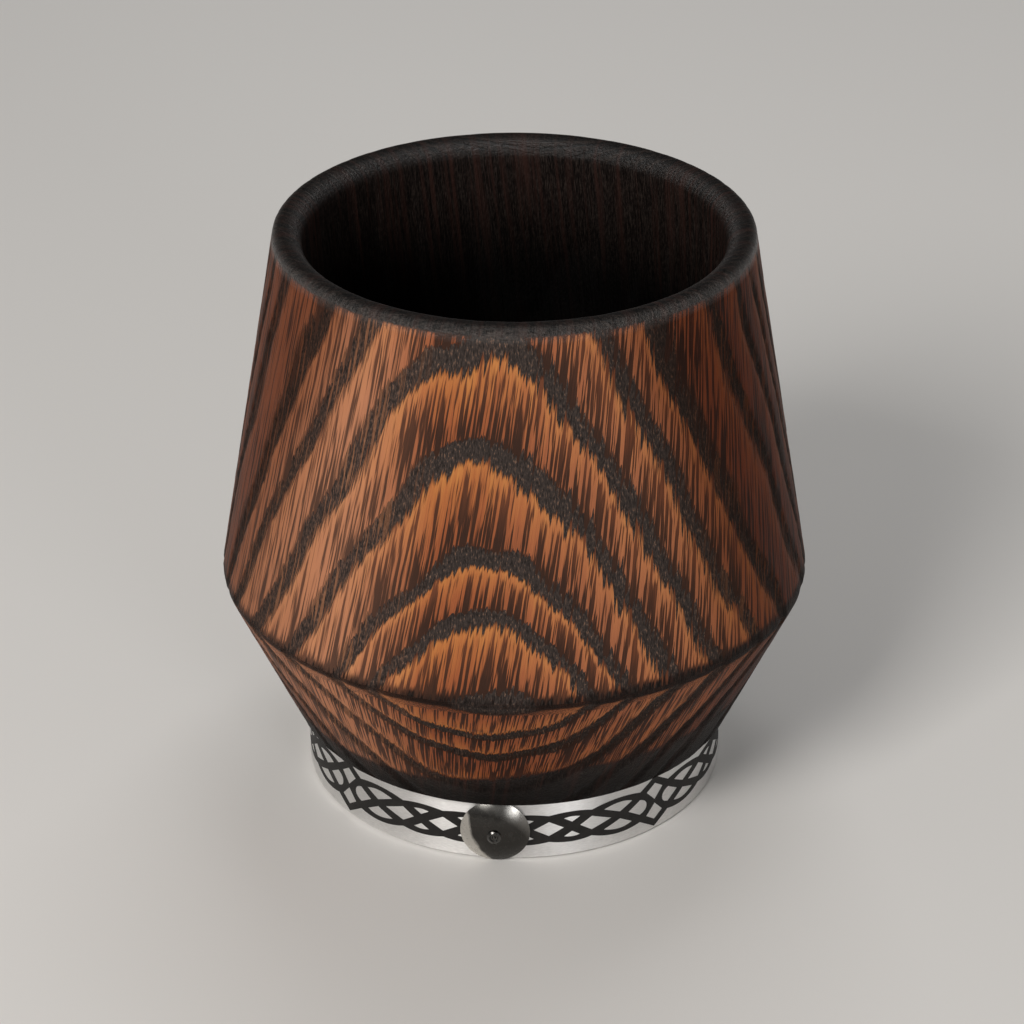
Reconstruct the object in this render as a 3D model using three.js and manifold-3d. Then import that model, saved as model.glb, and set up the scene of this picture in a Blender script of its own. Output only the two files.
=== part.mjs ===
// A turned wooden tumbler: a charred double-cone cup on a foot that is wrapped by a metal band with black
// knotwork. The band's ends meet under one domed stud. Millimetres, +Z up, origin on the table under the axis.
import * as THREE from "three";
import { mergeVertices } from "three/addons/utils/BufferGeometryUtils.js";
import Module from "manifold-3d";

const wasm = await Module();
wasm.setup();

// Outside of the cup
const cupHeight = 90.4;
const rimRadius = 35.35;
const lipOuterRound = 1.2;
const bellyRadius = 45;
const bellyHeight = 34.7;
const bellyRound = 2.5;
const skirtHeight = 10.6;
const skirtOverhang = 1.55;
const skirtRound = 0.6;

// Inside of the cup
const lipWidth = 4.2;
const lipInnerRound = 3;
const floorThickness = 15;
const wellTaper = 2.6;
const floorRound = 9;

// Foot, turned in behind the skirt and hollowed a little so that it stands on a ring
const footEdgeRound = 0.5;
const standingRingWidth = 6.5;
const baseHollowDepth = 1;

// Metal strip round the foot
const bandRadius = 32.45;
const bandThickness = 0.8;
const bandEdgeBevel = 0.15;
const bandLift = 0.2;
const bandHeadroom = 0.4;
const bandButtGap = 1.3;

// Black knotwork fired on the band's face
const knotRepeats = 4;
const knotMargin = 0.4;
const knotEndMargin = 0.3;
const knotThickness = 0.12;

// Domed stud and its nail
const studRise = 1.6;
const studWall = 0.55;
const studClearance = 0.1;
const nailRadius = 0.75;
const nailLength = 15;
const nailPointLength = 2.2;
const nailHeadRadius = 1.05;
const nailHeadRise = 0.45;
const nailHeadRound = 0.35;

// Clearances between neighbours
const fitGap = 0.15;
const seatGap = 0.1;

// Facets
const cupSegments = 72;
const bandSegments = 120;
const studSegments = 36;
const nailSegments = 18;
const domeSteps = 7;
const curveSteps = 5;
const roundStep = THREE.MathUtils.degToRad(22);

// Sizes that follow from the ones above
const footRadius = bandRadius - bandThickness - fitGap;
const skirtRadius = bandRadius + skirtOverhang;
const bandTop = skirtHeight - bandHeadroom;
const bandMiddle = (bandLift + bandTop) / 2;
const stripLength = 2 * Math.PI * bandRadius - bandButtGap;
const knotHalfHeight = (bandTop - bandLift) / 2 - knotMargin;
const knotLength = stripLength - 2 * knotEndMargin;
const mouthRadius = rimRadius - lipWidth;
const floorRadius = mouthRadius - wellTaper;
const studRadius = skirtHeight / 2 - studClearance;
const studHeight = skirtHeight / 2;
const nailHoleRadius = nailRadius + fitGap;
const studStandOff = seatGap + knotThickness + seatGap;
const nailReach = nailLength - studStandOff - studRise - seatGap;

// A quarter of the knot's repeat, drawn flat in millimetres: [u, v] or one of them alone, with u along
// the band from the spear's axis and v up from the band's middle line. Strands lie between the open cells.
const drawing = {
  spear: { tip: 4.6, shoulder: [2.9, 2.7] },
  spearCell: { top: 3.28, side: [1.65, 2.12], heart: 0.33 },
  loopCell: { tip: 5.1, corner: [2.95, 1.34], bulge: 1.62, bend: 0.95 },
  lens: { crossing: 6.6, crest: 3.2 },
  lensCell: { near: [4.42, 1.88], far: [9.4, 1.82], crest: 2.38, point: 0.63 },
  longDiamond: { near: 8.15, height: 1.23 },
  chain: { start: 11.4, crossing: 14.58, pitch: 7.18, links: 2, cusp: 2.33, crest: 2.72 },
  chainCell: { tip: [1.27, 1.62], crest: 1.82, point: 0.83 },
  diamond: { tip: 1.27, height: 1.27 },
};
const drawnHalfRepeat = drawing.chain.crossing + (drawing.chain.links - 0.5) * drawing.chain.pitch;
const stretchAlong = knotLength / (2 * knotRepeats * drawnHalfRepeat);
const stretchUp = knotHalfHeight / drawing.spear.tip;

// A geometry with its shared corners merged, as a solid that can be cut.
function solidOf(geometry) {
  const bare = new THREE.BufferGeometry();
  bare.setAttribute("position", geometry.getAttribute("position"));
  bare.setIndex(geometry.index);
  const { index, attributes } = mergeVertices(bare);
  const triVerts = new Uint32Array(index.array);
  return new wasm.Manifold(new wasm.Mesh({ numProp: 3, vertProperties: attributes.position.array, triVerts }));
}

function geometryOf(solid) {
  const { vertProperties, triVerts } = solid.getMesh();
  return indexedGeometry(vertProperties, triVerts);
}

function indexedGeometry(positions, triangles) {
  const geometry = new THREE.BufferGeometry();
  geometry.setAttribute("position", new THREE.Float32BufferAttribute(positions, 3));
  geometry.setIndex(new THREE.Uint32BufferAttribute(triangles, 1));
  geometry.computeVertexNormals();
  return geometry;
}

// A turned profile: straight runs between corners [radius, height, round], each corner with its own round.
function profileOf(corners) {
  const points = corners.map(([r, z]) => new THREE.Vector2(r, z));
  return corners.flatMap(([, , round], i) => {
    const corner = points[i];
    if (!round) return [corner];
    const back = points.at(i - 1).clone().sub(corner).normalize();
    const ahead = points[(i + 1) % points.length].clone().sub(corner).normalize();
    const half = Math.acos(back.dot(ahead)) / 2;
    const inward = back.clone().add(ahead).normalize();
    const centre = corner.clone().addScaledVector(inward, round / Math.sin(half));
    const start = corner.clone().addScaledVector(back, round / Math.tan(half));
    const turn = (Math.PI - 2 * half) * Math.sign(ahead.cross(back));
    const steps = Math.ceil(Math.abs(turn) / roundStep);
    return Array.from({ length: steps + 1 }, (_, k) => start.clone().rotateAround(centre, (turn * k) / steps));
  });
}

// A solid turned round +Z. A closed profile, such as a ring's, comes back to its first point.
function turned(corners, segments, closed = false) {
  const profile = profileOf(corners);
  if (closed) profile.push(profile[0].clone());
  return new THREE.LatheGeometry(profile, segments).rotateX(Math.PI / 2);
}

// The hole for the nail: a rod along Y from outside the band to a depth below the band's face.
function nailHole(depth) {
  const outside = 2 * bandThickness;
  const length = outside + depth;
  const rod = new THREE.CylinderGeometry(nailHoleRadius, nailHoleRadius, length, nailSegments);
  return solidOf(rod.translate(0, length / 2 - outside - bandRadius, studHeight));
}

function cupBody() {
  const hollowRadius = footRadius - standingRingWidth;
  const body = turned(
    [
      [0, baseHollowDepth],
      [hollowRadius - baseHollowDepth, baseHollowDepth],
      [hollowRadius, 0],
      [footRadius, 0, footEdgeRound],
      [footRadius, skirtHeight],
      [skirtRadius, skirtHeight, skirtRound],
      [bellyRadius, bellyHeight, bellyRound],
      [rimRadius, cupHeight, lipOuterRound],
      [mouthRadius, cupHeight, lipInnerRound],
      [floorRadius, floorThickness, floorRound],
      [0, floorThickness],
    ],
    cupSegments,
  );
  return geometryOf(solidOf(body).subtract(nailHole(nailReach + fitGap)));
}

// The strands of the upper right quarter of a repeat as flat plates. They have no holes and meet edge to
// edge, and each is short enough to follow the band's curve.
function strandPlates() {
  const { spear, spearCell, loopCell, lens, lensCell, longDiamond, chain, chainCell, diamond } = drawing;
  const plate = (u, v) => new THREE.Path().moveTo(u, v);
  const [shoulder] = spear.shoulder;
  const plates = [
    plate(0, spear.tip)
      .lineTo(...spear.shoulder)
      .lineTo(...loopCell.corner)
      .quadraticCurveTo(loopCell.bulge, loopCell.bend, loopCell.bulge, 0)
      .lineTo(0, 0)
      .lineTo(0, spearCell.heart)
      .lineTo(...spearCell.side)
      .lineTo(0, spearCell.top),
    plate(...spear.shoulder)
      .quadraticCurveTo((shoulder + lens.crossing) / 2, lens.crest, lens.crossing, lens.crest)
      .lineTo(lens.crossing, lensCell.crest)
      .quadraticCurveTo((lensCell.near[0] + lens.crossing) / 2, lensCell.crest, ...lensCell.near)
      .lineTo(lens.crossing, lensCell.point)
      .lineTo(lens.crossing, 0)
      .lineTo(loopCell.tip, 0)
      .lineTo(...loopCell.corner),
    plate(lens.crossing, lens.crest)
      .quadraticCurveTo((lens.crossing + chain.start) / 2, lens.crest, chain.start, chain.cusp)
      .lineTo(...lensCell.far)
      .quadraticCurveTo((lensCell.far[0] + lens.crossing) / 2, lensCell.crest, lens.crossing, lensCell.crest),
    plate(...lensCell.far)
      .lineTo(chain.start, chain.cusp)
      .lineTo(chain.start, longDiamond.height)
      .lineTo(longDiamond.near, 0)
      .lineTo(lens.crossing, 0)
      .lineTo(lens.crossing, lensCell.point),
  ];
  // Half a link of the chain, from a cusp to the crossing beside it.
  const halfLink = (cusp, crossing, diamondHeight) => {
    const side = Math.sign(crossing - cusp);
    const tip = crossing - side * chainCell.tip[0];
    return plate(cusp, chain.cusp)
      .quadraticCurveTo((cusp + crossing) / 2, chain.crest, crossing, chain.crest)
      .lineTo(crossing, chainCell.crest)
      .quadraticCurveTo((tip + crossing) / 2, chainCell.crest, tip, chainCell.tip[1])
      .lineTo(crossing, chainCell.point)
      .lineTo(crossing, 0)
      .lineTo(crossing - side * diamond.tip, 0)
      .lineTo(cusp, diamondHeight);
  };
  for (let link = 0; link < chain.links; link++) {
    const crossing = chain.crossing + link * chain.pitch;
    const before = link ? crossing - chain.pitch / 2 : chain.start;
    plates.push(halfLink(before, crossing, link ? diamond.height : longDiamond.height));
    plates.push(halfLink(crossing + chain.pitch / 2, crossing, diamond.height));
  }
  return plates.map((path) => path.getPoints(curveSteps));
}

// The whole net laid flat along the strip: corners, triangles, and the rim edges that have one neighbour.
function knotNet() {
  const corners = [];
  const seen = new Map();
  const triangles = [];
  const cornerAt = (u, v) => {
    const key = `${u.toFixed(4)} ${v.toFixed(4)}`.replaceAll("-0.0000", "0.0000");
    if (!seen.has(key)) seen.set(key, corners.push(new THREE.Vector2(u, v)) - 1);
    return seen.get(key);
  };
  const addPlate = (plate, faces, middle, along, up) => {
    const ids = plate.map(({ x, y }) => cornerAt((middle + along * x) * stretchAlong, up * y * stretchUp));
    for (const [a, b, c] of faces) {
      const triangle = [ids[a], ids[b], ids[c]];
      const isTurned = THREE.ShapeUtils.isClockWise(triangle.map((id) => corners[id]));
      triangles.push(isTurned ? triangle.reverse() : triangle);
    }
  };
  for (const plate of strandPlates()) {
    const faces = THREE.ShapeUtils.triangulateShape(plate, []);
    for (let repeat = 0; repeat < knotRepeats; repeat++) {
      const middle = (2 * repeat + 1 - knotRepeats) * drawnHalfRepeat;
      for (const along of [1, -1]) {
        for (const up of [1, -1]) addPlate(plate, faces, middle, along, up);
      }
    }
  }
  const edges = triangles.flatMap(([a, b, c]) => [[a, b], [b, c], [c, a]]);
  const known = new Set(edges.map(([start, end]) => `${start} ${end}`));
  const rim = edges.filter(([start, end]) => !known.has(`${end} ${start}`));
  return { corners, triangles, rim };
}

// The net bent round the band as a thin solid on its face. Its middle is at the back of the foot.
function knotwork() {
  const { corners, triangles, rim } = knotNet();
  const inside = corners.length;
  const bend = (radius) =>
    corners.flatMap(({ x, y }) => {
      const angle = x / bandRadius;
      return [-radius * Math.sin(angle), radius * Math.cos(angle), bandMiddle + y];
    });
  const seat = bandRadius + seatGap;
  const outerFaces = triangles.flat();
  const innerFaces = triangles.flatMap(([a, b, c]) => [inside + c, inside + b, inside + a]);
  const walls = rim.flatMap(([a, b]) => [inside + a, inside + b, b, inside + a, b, a]);
  const positions = [...bend(seat + knotThickness), ...bend(seat)];
  return indexedGeometry(positions, [...outerFaces, ...innerFaces, ...walls]);
}

function footBand() {
  const inner = bandRadius - bandThickness;
  const face = bandRadius - bandEdgeBevel;
  const ring = turned(
    [
      [inner, bandLift],
      [face, bandLift],
      [bandRadius, bandLift + bandEdgeBevel],
      [bandRadius, bandTop - bandEdgeBevel],
      [face, bandTop],
      [inner, bandTop],
    ],
    bandSegments,
    true,
  );
  const slit = new THREE.BoxGeometry(bandButtGap, 4 * bandThickness, 2 * skirtHeight);
  const slitSolid = solidOf(slit.translate(0, -bandRadius, 0));
  return geometryOf(solidOf(ring).subtract(slitSolid).subtract(nailHole(2 * bandThickness)));
}

// The dome is a cap of a ball with the same wall all over, on the stud's own axis with its open rim at z = 0.
function studDome() {
  const ballRadius = (studRadius ** 2 + studRise ** 2) / (2 * studRise);
  const ballDrop = ballRadius - studRise;
  const arc = (radius) => {
    const rim = Math.acos(ballDrop / radius);
    const hole = Math.asin(nailHoleRadius / radius);
    return Array.from({ length: domeSteps + 1 }, (_, k) => {
      const angle = rim + ((hole - rim) * k) / domeSteps;
      return [radius * Math.sin(angle), radius * Math.cos(angle) - ballDrop];
    });
  };
  const outside = arc(ballRadius);
  const inside = arc(ballRadius - studWall).reverse();
  return turned([...outside, ...inside], studSegments, true);
}

// The nail stands on the same axis: its head rests on the dome and its point is in the wood.
function studNail() {
  const seat = studRise + seatGap;
  const point = seat - nailLength;
  return turned(
    [
      [0, point],
      [nailRadius, point + nailPointLength],
      [nailRadius, seat],
      [nailHeadRadius, seat],
      [nailHeadRadius, seat + nailHeadRise, nailHeadRound],
      [0, seat + nailHeadRise],
    ],
    nailSegments,
  );
}

function piece(name, geometry, color, roughness, metalness) {
  const mesh = new THREE.Mesh(geometry, new THREE.MeshStandardMaterial({ color, roughness, metalness }));
  mesh.name = name;
  return mesh;
}

const stud = new THREE.Group();
stud.position.set(0, -bandRadius - studStandOff, studHeight);
stud.rotation.x = Math.PI / 2;
stud.add(
  piece("stud_dome", studDome(), 0x4a4846, 0.18, 1),
  piece("stud_nail", studNail(), 0x5b5855, 0.3, 1),
);

const tumbler = new THREE.Group();
tumbler.add(
  piece("cup_body", cupBody(), 0x7a4a26, 0.75, 0),
  piece("foot_band", footBand(), 0xb9b4ae, 0.35, 1),
  piece("knotwork", knotwork(), 0x14110f, 0.7, 0),
  stud,
);

export default tumbler;
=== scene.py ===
"""Looks of a charred wooden tumbler on a knotwork band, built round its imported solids. Metres, +Z up."""

import logging
import math
from dataclasses import dataclass
from enum import Enum
from typing import Callable, Sequence

import bmesh
import bpy
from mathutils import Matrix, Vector, noise


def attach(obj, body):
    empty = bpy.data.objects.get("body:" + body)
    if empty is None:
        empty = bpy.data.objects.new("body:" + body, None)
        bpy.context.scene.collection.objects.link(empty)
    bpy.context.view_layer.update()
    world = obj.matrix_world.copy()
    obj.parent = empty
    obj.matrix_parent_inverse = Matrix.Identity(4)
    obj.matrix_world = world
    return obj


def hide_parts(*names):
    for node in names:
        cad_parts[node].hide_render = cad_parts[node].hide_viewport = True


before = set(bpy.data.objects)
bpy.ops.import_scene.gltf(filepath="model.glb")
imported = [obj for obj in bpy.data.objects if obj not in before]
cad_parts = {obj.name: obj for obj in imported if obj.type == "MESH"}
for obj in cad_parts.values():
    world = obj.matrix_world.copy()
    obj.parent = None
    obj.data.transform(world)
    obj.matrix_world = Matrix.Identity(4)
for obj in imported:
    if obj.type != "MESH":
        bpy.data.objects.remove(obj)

log = logging.getLogger("tumbler")

MM = 0.001
BODY = "root"
Pair = tuple[float, float]
Range = Pair
Triple = tuple[float, float, float]
Colour = Triple
Stops = Sequence[tuple[float, Colour]]
Socket = bpy.types.NodeSocket
WELD = 0.0005 * MM
TOUCH = 0.01 * MM
NOISE_MIDDLE = 0.5


def shade(red: int, green: int, blue: int) -> Colour:
    """Turns a colour as seen on a screen into linear light.

    Args:
        red: Red, 0 to 255.
        green: Green, 0 to 255.
        blue: Blue, 0 to 255.

    Returns:
        The linear red, green and blue.
    """
    def linear(level: int) -> float:
        """Gives one channel's linear value."""
        part = level / 255
        return part / 12.92 if part <= 0.04045 else ((part + 0.055) / 1.055) ** 2.4

    return linear(red), linear(green), linear(blue)


def ease(value: float, start: float, end: float) -> float:
    """Runs smoothly from 0 at start to 1 at end; the two may be in either order.

    Args:
        value: The value to place.
        start: Where the result is 0.
        end: Where the result is 1.

    Returns:
        A number from 0 to 1.
    """
    part = min(1.0, max(0.0, (value - start) / (end - start)))
    return part * part * (3 - 2 * part)


class Zone(Enum):
    """A stretch of the cup's turned surface."""

    OUTSIDE = "outside"
    LIP = "lip"
    WELL = "well"
    FOOT = "foot"


class Pick(Enum):
    """What is picked on an edited mesh."""

    VERT = "VERT"
    EDGE = "EDGE"


class Bench:
    """Modelling steps on the active piece, with nothing else selected."""

    @staticmethod
    def clear() -> None:
        """Goes to object mode and deselects everything."""
        if bpy.context.mode != "OBJECT":
            bpy.ops.object.mode_set(mode="OBJECT")
        bpy.ops.object.select_all(action="DESELECT")

    @staticmethod
    def take(piece: bpy.types.Object) -> None:
        """Selects one piece alone and makes it active.

        Args:
            piece: The piece.
        """
        Bench.clear()
        piece.select_set(True)
        bpy.context.view_layer.objects.active = piece

    @staticmethod
    def name(name: str) -> bpy.types.Object:
        """Names the active object and its mesh.

        Args:
            name: The piece's name.

        Returns:
            The active object.
        """
        piece = bpy.context.object
        piece.name = name
        piece.data.name = name
        return piece

    @staticmethod
    def pick(test: Callable[[Vector], bool], kind: Pick = Pick.VERT) -> None:
        """Selects the vertices or edges of the edited mesh whose middle passes a test.

        Args:
            test: Says whether a place is picked.
            kind: What is picked.
        """
        bpy.ops.mesh.select_mode(type=kind.value)
        bpy.ops.mesh.select_all(action="DESELECT")
        mesh = bpy.context.object.data
        work = bmesh.from_edit_mesh(mesh)
        if kind is Pick.VERT:
            for vertex in work.verts:
                vertex.select_set(test(vertex.co))
        else:
            for edge in work.edges:
                edge.select_set(test((edge.verts[0].co + edge.verts[1].co) / 2))
        work.select_flush_mode()
        bmesh.update_edit_mesh(mesh)

    @staticmethod
    def long_edges(pitch: Callable[[Vector], float]) -> list[tuple[Vector, int]]:
        """Lists the edges of the edited mesh that are longer than the pitch at their middle.

        Args:
            pitch: The wanted edge length at a place.

        Returns:
            Each edge's middle and the number of cuts that it needs.
        """
        work = bmesh.from_edit_mesh(bpy.context.object.data)
        found = []
        for edge in work.edges:
            middle = (edge.verts[0].co + edge.verts[1].co) / 2
            cuts = math.ceil(edge.calc_length() / pitch(middle)) - 1
            if cuts > 0:
                found.append((middle, cuts))
        return found

    @staticmethod
    def close_up() -> None:
        """Merges doubles, turns all faces outwards and goes back to object mode."""
        bpy.ops.mesh.select_mode(type="VERT")
        bpy.ops.mesh.select_all(action="SELECT")
        bpy.ops.mesh.remove_doubles(threshold=WELD)
        bpy.ops.mesh.normals_make_consistent(inside=False)
        bpy.ops.object.mode_set(mode="OBJECT")

    @staticmethod
    def apply(piece: bpy.types.Object, modifier: bpy.types.Modifier) -> None:
        """Applies a modifier to a piece."""
        Bench.take(piece)
        bpy.ops.object.modifier_apply(modifier=modifier.name)

    @staticmethod
    def smooth(piece: bpy.types.Object, degrees: float) -> None:
        """Shades a piece smooth, apart from edges sharper than an angle."""
        Bench.take(piece)
        bpy.ops.object.shade_smooth_by_angle(angle=math.radians(degrees))

    @staticmethod
    def stand(piece: bpy.types.Object, place: Vector) -> None:
        """Turns a piece modelled along +Z to face the front, moves it to its place and applies both.

        Args:
            piece: The piece.
            place: Where its own origin goes.
        """
        Bench.take(piece)
        piece.rotation_euler = (math.pi / 2, 0, 0)
        piece.location = place
        bpy.ops.object.transform_apply(location=True, rotation=True, scale=True)

    @staticmethod
    def hand_over(piece: bpy.types.Object, material: bpy.types.Material, slot: str, *nodes: str) -> None:
        """Gives a piece its finish and its body, and hides the solids that it stands for.

        Args:
            piece: The finished piece.
            material: Its finish.
            slot: The record's material slot; not used.
            nodes: The solids that it replaces.
        """
        piece.data.materials.clear()
        piece.data.materials.append(material)
        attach(piece, BODY)
        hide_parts(*nodes)
        log.info("%s: %d faces", piece.name, len(piece.data.polygons))


@dataclass(frozen=True)
class Speckle:
    """A noise: features per unit of its vector, octaves and the share of each further octave."""

    scale: float
    detail: float = 2.0
    roughness: float = 0.5


class Palette:
    """The node tree of one finish, with short ways to add nodes to it."""

    def __init__(self, name: str) -> None:
        """Starts a material with one shader.

        Args:
            name: The material's name.
        """
        self.material = bpy.data.materials.new(name)
        self.material.use_nodes = True
        self.tree = self.material.node_tree
        self.tree.nodes.clear()
        self.shader = self.tree.nodes.new("ShaderNodeBsdfPrincipled")
        output = self.tree.nodes.new("ShaderNodeOutputMaterial")
        self.tree.links.new(self.shader.outputs["BSDF"], output.inputs["Surface"])

    def feed(self, socket: Socket, value: object) -> None:
        """Links a socket, or sets its value where a plain value is given.

        Args:
            socket: The input to feed.
            value: Another node's output, a number, a vector or a colour.
        """
        if isinstance(value, Socket):
            self.tree.links.new(value, socket)
        elif socket.type == "RGBA":
            socket.default_value = (*value, 1.0)
        else:
            socket.default_value = value

    def set(self, **inputs: object) -> None:
        """Feeds the shader's inputs; an underscore stands for a space."""
        for name, value in inputs.items():
            self.feed(self.shader.inputs[name.replace("_", " ")], value)

    def places(self) -> Socket:
        """Gives object coordinates in millimetres."""
        coordinates = self.tree.nodes.new("ShaderNodeTexCoord")
        return self.stretch(coordinates.outputs["Object"], (1 / MM, 1 / MM, 1 / MM))

    def stretch(self, vector: Socket, factors: Sequence[float]) -> Socket:
        """Multiplies a vector by three factors.

        Args:
            vector: The vector.
            factors: One factor for each part.

        Returns:
            The stretched vector.
        """
        node = self.tree.nodes.new("ShaderNodeVectorMath")
        node.operation = "MULTIPLY"
        self.feed(node.inputs[0], vector)
        node.inputs[1].default_value = factors
        return node.outputs[0]

    def along_ring(self) -> Socket:
        """Finds the direction round the axis.

        Returns:
            The tangent.
        """
        node = self.tree.nodes.new("ShaderNodeTangent")
        node.direction_type = "RADIAL"
        node.axis = "Z"
        return node.outputs[0]

    def lean(self, vector: Socket, degrees: float) -> Socket:
        """Turns a vector about Y.

        Args:
            vector: The vector.
            degrees: The angle.

        Returns:
            The turned vector.
        """
        node = self.tree.nodes.new("ShaderNodeVectorRotate")
        node.rotation_type = "Y_AXIS"
        self.feed(node.inputs["Vector"], vector)
        node.inputs["Angle"].default_value = math.radians(degrees)
        return node.outputs[0]

    def split(self, vector: Socket) -> tuple[Socket, ...]:
        """Takes a vector apart.

        Args:
            vector: The vector.

        Returns:
            Its three parts.
        """
        node = self.tree.nodes.new("ShaderNodeSeparateXYZ")
        self.feed(node.inputs[0], vector)
        return tuple(node.outputs)

    def join(self, *parts: object) -> Socket:
        """Makes a vector.

        Args:
            parts: Its three parts.

        Returns:
            The vector.
        """
        node = self.tree.nodes.new("ShaderNodeCombineXYZ")
        for socket, part in zip(node.inputs, parts):
            self.feed(socket, part)
        return node.outputs[0]

    def attribute(self, name: str) -> Socket:
        """Reads a number that the mesh carries on its points.

        Args:
            name: The attribute's name.

        Returns:
            The number.
        """
        node = self.tree.nodes.new("ShaderNodeAttribute")
        node.attribute_name = name
        return node.outputs["Fac"]

    def noise(self, vector: Socket, speckle: Speckle) -> Socket:
        """Adds a noise.

        Args:
            vector: Where it is read.
            speckle: Its scale and octaves.

        Returns:
            The noise, around 0.5.
        """
        node = self.tree.nodes.new("ShaderNodeTexNoise")
        self.feed(node.inputs["Vector"], vector)
        node.inputs["Scale"].default_value = speckle.scale
        node.inputs["Detail"].default_value = speckle.detail
        node.inputs["Roughness"].default_value = speckle.roughness
        return node.outputs["Fac"]

    def math(self, operation: str, first: object, second: object = 0.0, third: object = 0.0) -> Socket:
        """Adds a sum on up to three numbers.

        Args:
            operation: Blender's name of the sum.
            first: The first number.
            second: The second number.
            third: The third number.

        Returns:
            The result.
        """
        node = self.tree.nodes.new("ShaderNodeMath")
        node.operation = operation
        for socket, value in zip(node.inputs, (first, second, third)):
            self.feed(socket, value)
        return node.outputs[0]

    def times(self, first: object, second: object) -> Socket:
        """Multiplies two numbers."""
        return self.math("MULTIPLY", first, second)

    def minus(self, first: object, second: object) -> Socket:
        """Takes the second number from the first."""
        return self.math("SUBTRACT", first, second)

    def sway(self, base: object, swing: Socket, amount: float) -> Socket:
        """Adds a noise's swing about its middle, times an amount, to a base value.

        Args:
            base: The base value.
            swing: The noise.
            amount: The amount.

        Returns:
            The sum.
        """
        return self.math("ADD", base, self.math("MULTIPLY_ADD", swing, amount, -NOISE_MIDDLE * amount))

    def remap(
        self, value: object, low: object, high: object, to_low: float = 0.0, to_high: float = 1.0
    ) -> Socket:
        """Maps a range to another, held at its ends.

        Args:
            value: The value to map.
            low: Where the range starts.
            high: Where it ends.
            to_low: The result at its start.
            to_high: The result at its end.

        Returns:
            The mapped value.
        """
        node = self.tree.nodes.new("ShaderNodeMapRange")
        for socket, part in zip(node.inputs, (value, low, high, to_low, to_high)):
            self.feed(socket, part)
        return node.outputs[0]

    def ramp(self, value: Socket, stops: Stops) -> Socket:
        """Colours a value by a row of stops.

        Args:
            value: The value, 0 to 1.
            stops: Positions and their colours.

        Returns:
            The colour.
        """
        node = self.tree.nodes.new("ShaderNodeValToRGB")
        marks = node.color_ramp.elements
        while len(marks) < len(stops):
            marks.new(1.0)
        for mark, (position, colour) in zip(marks, stops):
            mark.position = position
            mark.color = (*colour, 1.0)
        self.feed(node.inputs["Fac"], value)
        return node.outputs["Color"]

    def mix(self, share: object, first: object, second: object, blend: str = "MIX") -> Socket:
        """Mixes two colours.

        Args:
            share: 0 gives the first colour, 1 the blend.
            first: The first colour.
            second: The second colour.
            blend: Blender's name of the blend; MULTIPLY tints the first by the second.

        Returns:
            The colour.
        """
        node = self.tree.nodes.new("ShaderNodeMix")
        node.data_type = "RGBA"
        node.blend_type = blend
        self.feed(node.inputs[0], share)
        self.feed(node.inputs[6], first)
        self.feed(node.inputs[7], second)
        return node.outputs[2]

    def bump(self, height: Socket, depth: float, strength: float = 1.0) -> Socket:
        """Bumps the shader's surface.

        Args:
            height: The height, 0 to 1.
            depth: What 1 stands for, in metres.
            strength: Share of the effect.

        Returns:
            The bumped normal.
        """
        node = self.tree.nodes.new("ShaderNodeBump")
        node.inputs["Strength"].default_value = strength
        node.inputs["Distance"].default_value = depth
        self.feed(node.inputs["Height"], height)
        self.feed(self.shader.inputs["Normal"], node.outputs["Normal"])
        return node.outputs["Normal"]


@dataclass(frozen=True)
class GrowthRings:
    """Growth rings of the block that the cup is turned from, in millimetres, seen from the front.

    A ring's place is its depth towards the front, straightened by the block's lean and bow.
    """

    turn: float = math.radians(5.15)
    lean: float = -0.0965
    twist: float = 1.075e-5
    bow: float = 3.455e-6
    rise: float = -0.0485
    skew: float = -0.00035
    level: float = 35.0
    places: tuple[float, ...] = (19.1, 26.1, 29.7, 33.6, 37.1, 40.4, 42.3, 44.9)
    inner_width: float = 4.6
    early_middle: float = 0.13
    wobble: float = 0.16
    wobble_size: float = 7.0
    wobble_stretch: float = 0.5

    def number(self, point: Vector) -> float:
        """Counts the rings from the block's inner part to a point.

        Args:
            point: A place on the cup, in metres.

        Returns:
            The ring's number; its part after the point is 0 where the ring's porous wood starts.
        """
        x, y, z = point / MM
        across = x * math.cos(self.turn) + y * math.sin(self.turn)
        front = x * math.sin(self.turn) - y * math.cos(self.turn)
        up = z - self.level
        place = front + self.lean * across + self.twist * across**3 + self.bow * across**4
        place += self.rise * up + self.skew * across * up
        count = self.count(place) + self.early_middle
        drift = noise.noise(Vector((x, y, self.wobble_stretch * z)) / self.wobble_size)
        return count + self.wobble * drift

    def count(self, place: float) -> float:
        """Turns a place between the rings into a number that grows by 1 a ring.

        Args:
            place: The straightened depth towards the front.

        Returns:
            The number.
        """
        places = self.places
        if place <= places[0]:
            return (place - places[0]) / self.inner_width
        for index in range(len(places) - 1):
            if place <= places[index + 1]:
                return index + (place - places[index]) / (places[index + 1] - places[index])
        last = places[-1] - places[-2]
        return len(places) - 1 + (place - places[-1]) / last


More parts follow.
